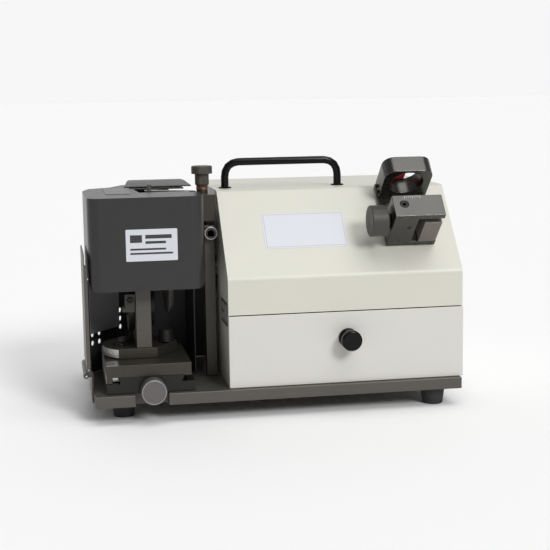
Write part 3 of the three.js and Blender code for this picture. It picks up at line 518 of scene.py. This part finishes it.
def build_hood_plates():
    """Label with plain bars on the hood's front, and the thin plate on its top."""
    hood_low, hood_high = corners_of("hood")
    left, bottom, front = 42.6, 194, hood_low.y - SKIN
    bm = bmesh.new()
    plate(bm, at(left, front, bottom), X, Z, rounded(60.7, 37.7, 1.2), LABEL, 0.12)
    piece("hood_label", bm, "label_white", "hood_shell")
    bm = bmesh.new()
    for u, v, width, height in (
        (5, 22, 14, 9),
        (23, 26.5, 31, 4.5),
        (23, 20.5, 24, 3),
        (5, 8, 50, 2.2),
        (5, 13, 42, 2.2),
    ):
        mark(bm, at(left + u, front - PRINT_LIFT, bottom + v), X, Z, width, height)
    piece("hood_label_bars", bm, "label_ink", "hood_shell")

    bm = bmesh.new()
    outline = [(23.6, 68.5), (53, 65), (57, 154), (23, 158)]
    plate(bm, at(0, 0, hood_high.z + SKIN), X, Y, outline, 0.7, 0.3)
    piece("hood_top_plate", bm, "dull_plate", "hood_shell")


def build_side_label():
    """Dark label with three plain fields on the housing's left side."""
    side, front, bottom = front_low.x - SKIN, 68, 110
    bm = bmesh.new()
    plate(bm, at(side, front, bottom), -Y, Z, rounded(53, 29, 1.5), LABEL, 0.1)
    piece("side_label", bm, "label_ink", "machine")
    bm = bmesh.new()
    for u, v, width, height in ((3, 16, 22, 9), (28, 4, 21, 21), (3, 4, 22, 9)):
        mark(bm, at(side - PRINT_LIFT, front - u, bottom + v), -Y, Z, width, height)
    piece("side_label_fields", bm, "label_grey", "machine")


def build_rating_plate():
    """Riveted plate on the back, with plain lines in place of words."""
    right, bottom, width, height, thickness = 400, 58, 80, 46, 0.6
    bm = bmesh.new()
    plate(bm, at(right, REAR_FACE, bottom), -X, Z, rounded(width, height, 2), thickness, 0.2)
    piece("rating_plate", bm, "alloy_plate", "machine")
    bm = bmesh.new()
    for k in range(5):
        start = at(right - 6, REAR_FACE + thickness + 0.01, bottom + 7 + 7.5 * k)
        mark(bm, start, -X, Z, 52 - 7 * (k % 3), 1.4)
    piece("rating_plate_lines", bm, "label_ink", "machine")

    inset = 3.5
    rivet = [(0, 0), (1.5, 0), (1.4, 0.5), (0.7, 0.9), (0, 1)]
    bm = bmesh.new()
    for x in (right - width + inset, right - inset):
        for z in (bottom + inset, bottom + height - inset):
            turned(bm, at(x, REAR_FACE + thickness, z), Y, rivet, 14)
    piece("rating_plate_rivets", bm, "bright_steel", "machine")


# ---------------------------------------------------------------- housing fittings
def build_housing_details():
    """Collars of the handle and screws of the covers."""
    handle = middle_of("carry_handle")
    leg = 73
    collar = [(5.2, 0), (8.2, 0), (8.2, 1.2), (7.4, 1.8), (5.6, 2.1), (5.2, 2.1), (5.2, 0)]
    bm = bmesh.new()
    for x in (handle.x - leg, handle.x + leg):
        turned(bm, at(x, handle.y, front_high.z + SKIN), Z, collar)
    piece("handle_collars", bm, "black_gloss", "machine")

    bm = bmesh.new()
    for x in (176, 437):
        for z in (48, 140, 254):
            pan_head(bm, at(x, REAR_FACE, z), Y, 3.4, 2.0)
    for y in (112, 178, 262):
        for z in (48, 246):
            pan_head(bm, at(rear_high.x + SKIN, y, z), X, 3.4, 1.1)
    piece("cover_screws", bm, "dark_steel", "machine")


def build_switch_frame():
    """Frame round the rocker, and the two marks on it."""
    rocker = middle_of("switch_rocker")
    centre = at(rocker.x, rear_high.y + 0.05, rocker.z)
    outer = rounded(27, 34, 2.5, left=-13.5, bottom=-17)
    shoulder = rounded(26, 33.2, 2.2, left=-13, bottom=-16.6)
    inner = rounded(20.6, 28.6, 1.0, left=-10.3, bottom=-14.3)
    levels = ((outer, 0.0), (outer, 1.4), (shoulder, 1.8), (inner, 1.8), (inner, 0.0))
    bm = bmesh.new()
    loops = []
    for outline, height in levels:
        loops.append([bm.verts.new(centre + (Z * v - X * u + Y * height) * MM) for u, v in outline])
    loops.append(loops[0])
    for lower, upper in zip(loops, loops[1:]):
        bridge(bm, lower, upper)
    piece("switch_frame", bm, "black_satin", "machine")

    face = corners_of("switch_rocker")[1].y + 0.01
    circle = [(2.0, 0), (2.7, 0), (2.7, 0.06), (2.0, 0.06), (2.0, 0)]
    line = [(0, 0), (1.0, 0), (1.0, 5.5), (0, 5.5)]
    bm = bmesh.new()
    plate(bm, at(rocker.x + 0.5, face, rocker.z - 8.5), -X, Z, line, 0.06)
    turned(bm, at(rocker.x, face, rocker.z + 6), Y, circle, 24)
    piece("switch_marks", bm, "label_white", "switch")


def build_plate_bolts():
    """Bolt heads under the base plate, which hold the housing."""
    bm = bmesh.new()
    for x, y in ((186, 30), (444, 60), (186, 270), (444, 230), (300, 30), (300, 270)):
        cap_head(bm, at(x, y, PLATE_BOTTOM - SKIN), -Z, 6.2, 6.0, 2.9)
    piece("plate_bolts", bm, "dark_steel", "machine")


# ---------------------------------------------------------------- station details
def rim_directions(angle):
    """Directions away from the table's axis and along its rim."""
    return Vector((math.cos(angle), math.sin(angle), 0)), Vector((-math.sin(angle), math.cos(angle), 0))


def build_table_scale():
    """Graduated band on the front left of the rotary table's rim."""
    start, end = math.radians(186), math.radians(232)
    inner, outer = TABLE_RADIUS + SKIN, TABLE_RADIUS + 0.25
    low, high = 73, 83
    section = ((inner, low), (outer, low), (outer, high), (inner, high))
    steps = 20
    bm = bmesh.new()
    columns = []
    for k in range(steps + 1):
        away = rim_directions(start + (end - start) * k / steps)[0]
        columns.append([bm.verts.new(TABLE_AXIS + (away * r + Z * h) * MM) for r, h in section])
    for here, after in zip(columns, columns[1:]):
        bridge(bm, here, after)
    bm.faces.new(columns[0])
    bm.faces.new(list(reversed(columns[-1])))
    piece("table_scale_band", bm, "silver_scale_and_painted_light", "turntable")

    marks = 23
    bm = bmesh.new()
    for k in range(marks):
        away, along = rim_directions(start + (end - start) * (k + 0.5) / marks)
        origin = TABLE_AXIS + (away * (outer + 0.01) - along * 0.25 + Z * low) * MM
        mark(bm, origin, along, Z, 0.5, 6.0 if k % 5 == 2 else 3.6)
    piece("table_scale_marks", bm, "label_ink", "turntable")


def build_slide_scale():
    """Zero plate on the upper slide's top, scale plate on its left side, and the lines of both."""
    low, high = corners_of("upper_slide")
    side, top = low.x - SKIN, high.z + SKIN
    left, front = low.x + 0.4, low.y + 0.6
    thickness = 0.2
    bm = bmesh.new()
    plate(bm, at(left, front, top), X, Y, rounded(14.4, 26, 0.8), thickness, 0.1)
    piece("slide_zero_plate", bm, "alloy_plate", "cross_carriage")

    rear, bottom = 66, 50
    side_thickness = 0.25
    bm = bmesh.new()
    plate(bm, at(side, rear, bottom), -Y, Z, rounded(56, 9, 0.8), side_thickness, 0.1)
    piece("slide_scale_plate", bm, "silver_scale_and_painted_light", "cross_carriage")

    bm = bmesh.new()
    mark(bm, at(left + 8.2, front + 0.9, top + thickness + 0.01), X, Y, 0.6, 20)
    for k in range(25):
        origin = at(side - side_thickness - 0.01, rear - 2 - 2.16 * k, bottom + 1)
        mark(bm, origin, -Y, Z, 0.4, 6.0 if k % 5 == 0 else 3.6)
    piece("slide_scale_marks", bm, "label_ink", "cross_carriage")


def build_station_details():
    """Screws and bolts of the station, painted shade in a socket, painted highlights on two edges and the
    wheel's flange.
    """
    # clamp screws of the gib on the upper slide's right side
    slide_right = corners_of("upper_slide")[1].x
    bm = bmesh.new()
    for y in (34, 68, 102):
        cap_head(bm, at(slide_right + SKIN, y, 64), X, 3.2, 2.6, 1.5, 20)
    piece("gib_screws", bm, "dark_steel", "cross_carriage")

    # screw in the front of the stop bracket
    stop_front = corners_of("stop_bracket")[0].y
    bm = bmesh.new()
    cap_head(bm, at(47.5, stop_front - SKIN, 143), -Y, 3.6, 3.0, 1.7, 20)
    piece("stop_screw", bm, "dark_steel", "turntable")

    # bolts in the foot of the hood's stanchion, set a little into it
    foot_height = 4
    bolt_z = corners_of("hood_stanchion")[0].z + foot_height - 0.28
    bm = bmesh.new()
    for x in (67, 105):
        cap_head(bm, at(x, 236, bolt_z), Z, 4.6, 4.2, 2.1, 24)
    piece("bracket_bolts", bm, "dark_steel", "machine")

    # painted shade on the floor of the socket in the column's cap screw, and a painted highlight ring on the
    # screw's edge
    screw = middle_of("column_cap_screw")
    screw_front = corners_of("column_cap_screw")[0].y
    bm = bmesh.new()
    floor = [(0, 0), (3.2, 0), (3.2, 0.2), (0, 0.2)]
    turned(bm, at(screw.x, screw_front + 4.95, screw.z), -Y, floor, 20)
    piece("cap_screw_socket_shade", bm, "painted_hole_shade", "machine")
    bm = bmesh.new()
    edge = [(7.0, 0), (8.0, 0), (7.7, 0.25), (7.0, 0.25), (7.0, 0)]
    turned(bm, at(screw.x, screw_front - SKIN, screw.z), -Y, edge, 32)
    piece("cap_screw_highlight_ring", bm, "alloy_plate", "machine")

    # painted highlight: a bright ring on the slide knob's edge
    knob = middle_of("cross_screw")
    knob_front = corners_of("cross_screw")[0].y
    bm = bmesh.new()
    edge = [(13.7, 0), (14.3, 0), (14.2, 0.15), (13.8, 0.15), (13.7, 0)]
    turned(bm, at(knob.x, knob_front - SKIN, knob.z), -Y, edge, 40)
    piece("slide_knob_highlight_ring", bm, "alloy_plate", "cross_feed")

    # flange on the outer face of the wheel
    wheel = middle_of("grinding_wheel")
    wheel_left = corners_of("grinding_wheel")[0].x
    bm = bmesh.new()
    flange = [(15.8, 0), (21, 0), (21, 1.6), (20.2, 2.2), (15.8, 2.2), (15.8, 0)]
    turned(bm, at(wheel_left - 0.05, wheel.y, wheel.z), -X, flange, 32)
    piece("wheel_flange", bm, "machined_steel", "wheel_spindle")


# ---------------------------------------------------------------- gauge details
def build_gauge_details():
    """Painted shade in a hole on the setting gauge, its scale and side screws, and its red stop."""
    # painted shade: a near-black disc in place of the hole's dark inside
    hole = [(0, 0), (2.6, 0), (2.6, 0.08), (0, 0.08)]
    bm = bmesh.new()
    turned(bm, on_slope(382.4, GAUGE_BLOCK["low"] - 0.04, 39.5), -UP_SLOPE, hole, 20)
    piece("gauge_block_hole_shade", bm, "painted_hole_shade", "machine")

    edge = GAUGE_BLOCK["high"] - 0.8
    bm = bmesh.new()
    for k in range(9):
        long = 4.2 if k % 4 == 0 else 2.6
        mark(bm, on_slope(376 + 2.4 * k, edge - long, GAUGE_BLOCK["top"] + SKIN), X, UP_SLOPE, 0.45, long)
    piece("gauge_scale_marks", bm, "label_white", "machine")

    bm = bmesh.new()
    for s in (113, 122):
        cap_head(bm, on_slope(GAUGE_RING["left"] - 0.1, s, 12), -X, 2.6, 2.4, 1.3, 20)
    piece("gauge_side_screws", bm, "dark_steel", "machine")

    # the stop stands behind the ring, across the lower left of its bore
    thickness = 1.2
    radius = GAUGE_RING["bore_radius"] + 2.5
    start, sweep, steps = 195, 88, 12
    outline = []
    for k in range(steps + 1):
        a = math.radians(start + sweep * k / steps)
        x = GAUGE_RING["bore_x"] + radius * math.cos(a)
        n = GAUGE_RING["bore_n"] + radius * math.sin(a)
        outline.append((x, n))
    outline += [(399, 24), (377, 27)]
    bm = bmesh.new()
    plate(bm, on_slope(0, GAUGE_RING["end"] + 0.1 + thickness, 0), X, OFF_SLOPE, outline, thickness, 0.2)
    piece("gauge_red_stop", bm, "mark_red", "machine")


build_slope_label()
build_hood_plates()
build_side_label()
build_rating_plate()
build_housing_details()
build_switch_frame()
build_plate_bolts()
build_table_scale()
build_slide_scale()
build_station_details()
build_gauge_details()


# ---------------------------------------------------------------- floor, light and camera
def build_floor():
    """Wide pale floor."""
    mesh = bpy.data.meshes.new("floor")
    reach = 30.0
    corners = [(-reach, -reach, 0), (reach, -reach, 0), (reach, reach, 0), (-reach, reach, 0)]
    mesh.from_pydata(corners, [], [(0, 1, 2, 3)])
    floor = bpy.data.objects.new("floor", mesh)
    bpy.context.scene.collection.objects.link(floor)
    mesh.materials.append(surface("pale_floor", (0.90, 0.90, 0.90), 0.8, patch=0.004, patch_size=0.4,
                                  grain=0.004, relief=0.02, smudge=0.02))


def build_backdrop():
    """White where it is seen; its light is dim from the front and brighter from behind."""
    world = bpy.data.worlds.new("studio")
    world.use_nodes = True
    tree = world.node_tree
    direction = add(tree, "ShaderNodeTexCoord").outputs["Generated"]
    behind = add(tree, "ShaderNodeSeparateXYZ", {0: direction}).outputs["Y"]
    settings = {"Value": behind, "From Min": 0.1, "From Max": 0.9, "To Min": 0.24, "To Max": 0.85}
    glow = add(tree, "ShaderNodeMapRange", settings, interpolation_type="SMOOTHSTEP").outputs[0]
    seen = add(tree, "ShaderNodeLightPath").outputs["Is Camera Ray"]
    strength = add(tree, "ShaderNodeMix", {0: seen, 2: glow, 3: 0.925}, data_type="FLOAT").outputs[0]
    background = tree.nodes["Background"]
    background.inputs["Color"].default_value = (1.0, 1.0, 1.0, 1)
    tree.links.new(strength, background.inputs["Strength"])
    bpy.context.scene.world = world


# a lamp's name, strength, width in degrees and the direction towards it
LAMPS = (
    ("key", 1.75, 18, Vector((0.32, -0.78, 0.52))),
    ("overhead", 1.38, 50, Vector((0.18, -0.30, 0.94))),
)


def build_lamps():
    """Soft lamps so far off that they light the whole floor alike."""
    for name, energy, width, toward in LAMPS:
        lamp = bpy.data.lights.new(name, "SUN")
        lamp.energy = energy
        lamp.angle = math.radians(width)
        made = bpy.data.objects.new(name, lamp)
        made.rotation_mode = "QUATERNION"
        made.rotation_quaternion = toward.to_track_quat("Z", "Y")
        bpy.context.scene.collection.objects.link(made)


# turned right, tipped down and rolled by these angles in degrees; the place is in metres
CAMERA_ANGLES = (10.18, -8.57, -0.83)
CAMERA_PLACE = (-0.2675, -1.6043, 0.39815)
SENSOR_WIDTH = 36
FOCAL_LENGTH = 83.1


def build_camera():
    """Front view from a little above and to the left."""
    yaw, pitch, roll = (math.radians(v) for v in CAMERA_ANGLES)
    forward = Vector((math.sin(yaw) * math.cos(pitch), math.cos(yaw) * math.cos(pitch), math.sin(pitch)))
    level = Vector((math.cos(yaw), -math.sin(yaw), 0))
    up = level.cross(forward)
    right = level * math.cos(roll) + up * math.sin(roll)
    top = up * math.cos(roll) - level * math.sin(roll)
    lens = bpy.data.cameras.new("front_view")
    lens.sensor_width = SENSOR_WIDTH
    lens.lens = FOCAL_LENGTH
    camera = bpy.data.objects.new("front_view", lens)
    turn = Matrix((right, top, -forward)).transposed().to_4x4()
    camera.matrix_world = Matrix.Translation(CAMERA_PLACE) @ turn
    bpy.context.scene.collection.objects.link(camera)
    bpy.context.scene.camera = camera


build_floor()
build_backdrop()
build_lamps()
build_camera()
bpy.context.scene.view_settings.view_transform = "Standard"
